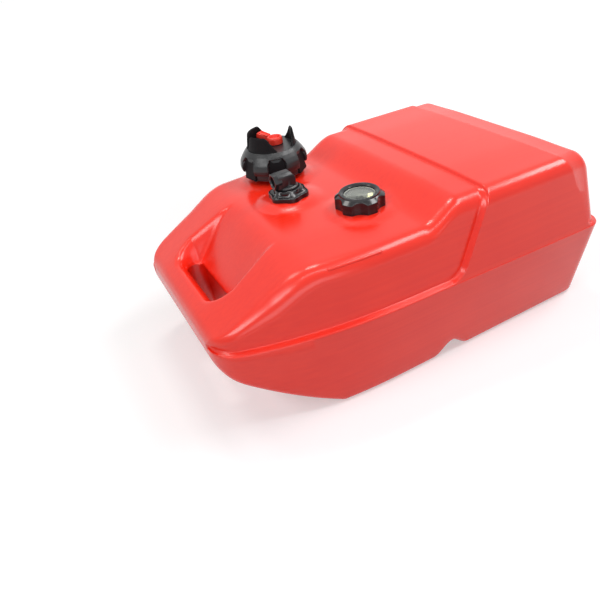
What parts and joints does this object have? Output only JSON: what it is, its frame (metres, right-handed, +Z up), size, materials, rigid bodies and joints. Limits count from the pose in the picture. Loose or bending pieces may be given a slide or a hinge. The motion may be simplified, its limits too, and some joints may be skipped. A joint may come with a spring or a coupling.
{
  "type": "outboard fuel tank",
  "caption": "Portable blow-moulded fuel tank with carrying handle, vented ratchet filler cap, swivelling fuel pick-up elbow and float gauge.",
  "frame": {"origin": "on the ground plane under the middle of the tank's length and width", "axes": "+X from the carrying handle to the tail, +Z up; the gauge is on the -Y side and the filler cap on the +Y side"},
  "size_m": [0.531, 0.35, 0.2585],
  "materials": {
    "tank_red": "semi-gloss moulded polyethylene with faint flow lines",
    "cap_black": "charcoal black with a soft satin sheen",
    "gloss_black": "smooth glossy black",
    "vent_red": "satin red",
    "seal_rubber": "dull black",
    "lens_clear": "clear plastic window",
    "dial_grey": "grey-green printed plate",
    "pointer_yellow": "pale yellow",
    "nylon": "natural nylon",
    "strip_steel": "thin bright steel tape",
    "float_foam": "dull closed-cell foam"
  },
  "bodies": {
    "tank": {"tank_shell": "tank_red", "pickup_nut": "gloss_black", "pickup_gasket": "seal_rubber", "pickup_body": "cap_black", "pickup_tube": "nylon", "pickup_screen": "nylon", "gauge_ring": "gloss_black", "gauge_lens": "lens_clear", "gauge_gasket": "seal_rubber", "gauge_head": "nylon", "gauge_dial": "dial_grey", "gauge_frame": "nylon"},
    "plug": {"cap_plug": "cap_black", "cap_gasket": "seal_rubber"},
    "cap": {"cap_shell": "cap_black"},
    "vent": {"vent_knob": "vent_red", "vent_seal": "seal_rubber"},
    "elbow": {"pickup_elbow": "cap_black", "pickup_oring": "seal_rubber"},
    "float": {"gauge_float": "float_foam"},
    "pointer": {"gauge_strip": "strip_steel", "gauge_pointer": "pointer_yellow"}
  },
  "joints": [
    {"name": "cap_lift", "type": "slide", "parent": "tank", "child": "plug", "axis": [0, 0, 1], "range_m": [0, 0.07]},
    {"name": "cap_turn", "type": "hinge", "parent": "plug", "child": "cap", "pos_m": [-0.0665, 0.104, 0.22], "axis": [0, 0, 1], "continuous": true},
    {"name": "vent_turn", "type": "hinge", "parent": "cap", "child": "vent", "pos_m": [-0.06, 0.1045, 0.24], "axis": [0, 0, 1], "range_deg": [0, 120]},
    {"name": "elbow_swivel", "type": "hinge", "parent": "tank", "child": "elbow", "pos_m": [-0.086, 0.024, 0.21], "axis": [0, 0, 1], "continuous": true},
    {"name": "float_rise", "type": "slide", "parent": "tank", "child": "float", "axis": [0, 0, 1], "range_m": [0, 0.136]},
    {"name": "pointer_turn", "type": "hinge", "parent": "tank", "child": "pointer", "pos_m": [-0.0295, -0.059, 0.1], "axis": [0, 0, 1], "range_deg": [-289, 0]}
  ],
  "couplings": [
    {"joint": "pointer_turn", "follows": "float_rise", "rad_per_m": -36.938}
  ]
}
